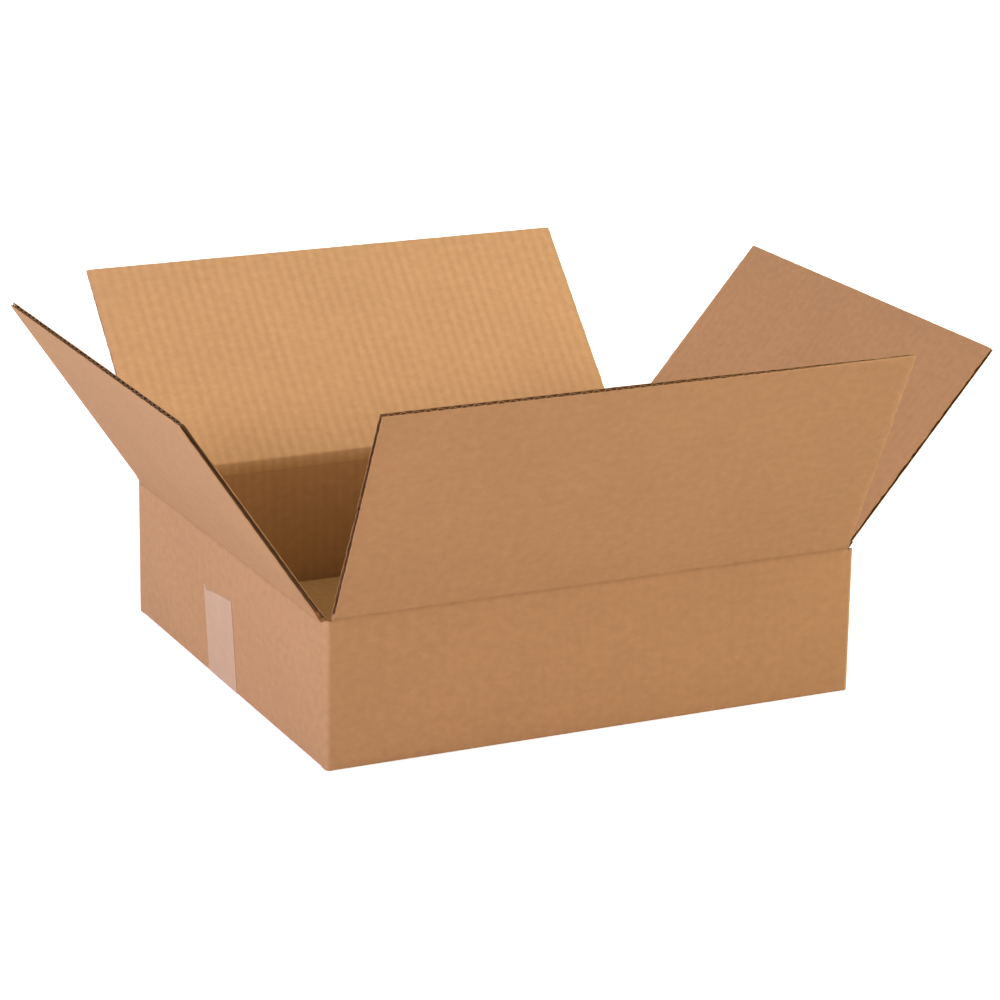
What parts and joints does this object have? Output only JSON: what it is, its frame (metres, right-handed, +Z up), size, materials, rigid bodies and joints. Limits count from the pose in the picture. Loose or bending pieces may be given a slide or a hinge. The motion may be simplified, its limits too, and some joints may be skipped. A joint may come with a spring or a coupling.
{
  "type": "shallow corrugated cardboard box",
  "caption": "Shallow slotted carton of single-wall corrugated board, bottom taped shut, with its top flaps standing open on their fold lines.",
  "frame": {"origin": "on the surface the carton stands on, under the middle of its bottom", "axes": "+X along the long walls, +Y from the front wall to the back wall, +Z up"},
  "size_m": [0.5539, 0.5065, 0.2404],
  "materials": {
    "kraft_board": "matt unprinted kraft",
    "clear_tape": "clear film with a soft sheen"
  },
  "bodies": {
    "carton": {"carton_body": "kraft_board", "bottom_tape": "clear_tape"},
    "front_flap": {"front_flap": "kraft_board"},
    "back_flap": {"back_flap": "kraft_board"},
    "left_flap": {"left_flap": "kraft_board"},
    "right_flap": {"right_flap": "kraft_board"}
  },
  "joints": [
    {"name": "front_fold", "type": "hinge", "parent": "carton", "child": "front_flap", "pos_m": [0, -0.1624, 0.096], "axis": [1, 0, 0], "range_deg": [-116, 94]},
    {"name": "back_fold", "type": "hinge", "parent": "carton", "child": "back_flap", "pos_m": [0, 0.1624, 0.096], "axis": [-1, 0, 0], "range_deg": [-134.3, 75.7]},
    {"name": "left_fold", "type": "hinge", "parent": "carton", "child": "left_flap", "pos_m": [-0.1804, 0, 0.0917], "axis": [0, -1, 0], "range_deg": [-124.1, 85.9]},
    {"name": "right_fold", "type": "hinge", "parent": "carton", "child": "right_flap", "pos_m": [0.1804, 0, 0.0917], "axis": [0, 1, 0], "range_deg": [-130.4, 79.6]}
  ]
}
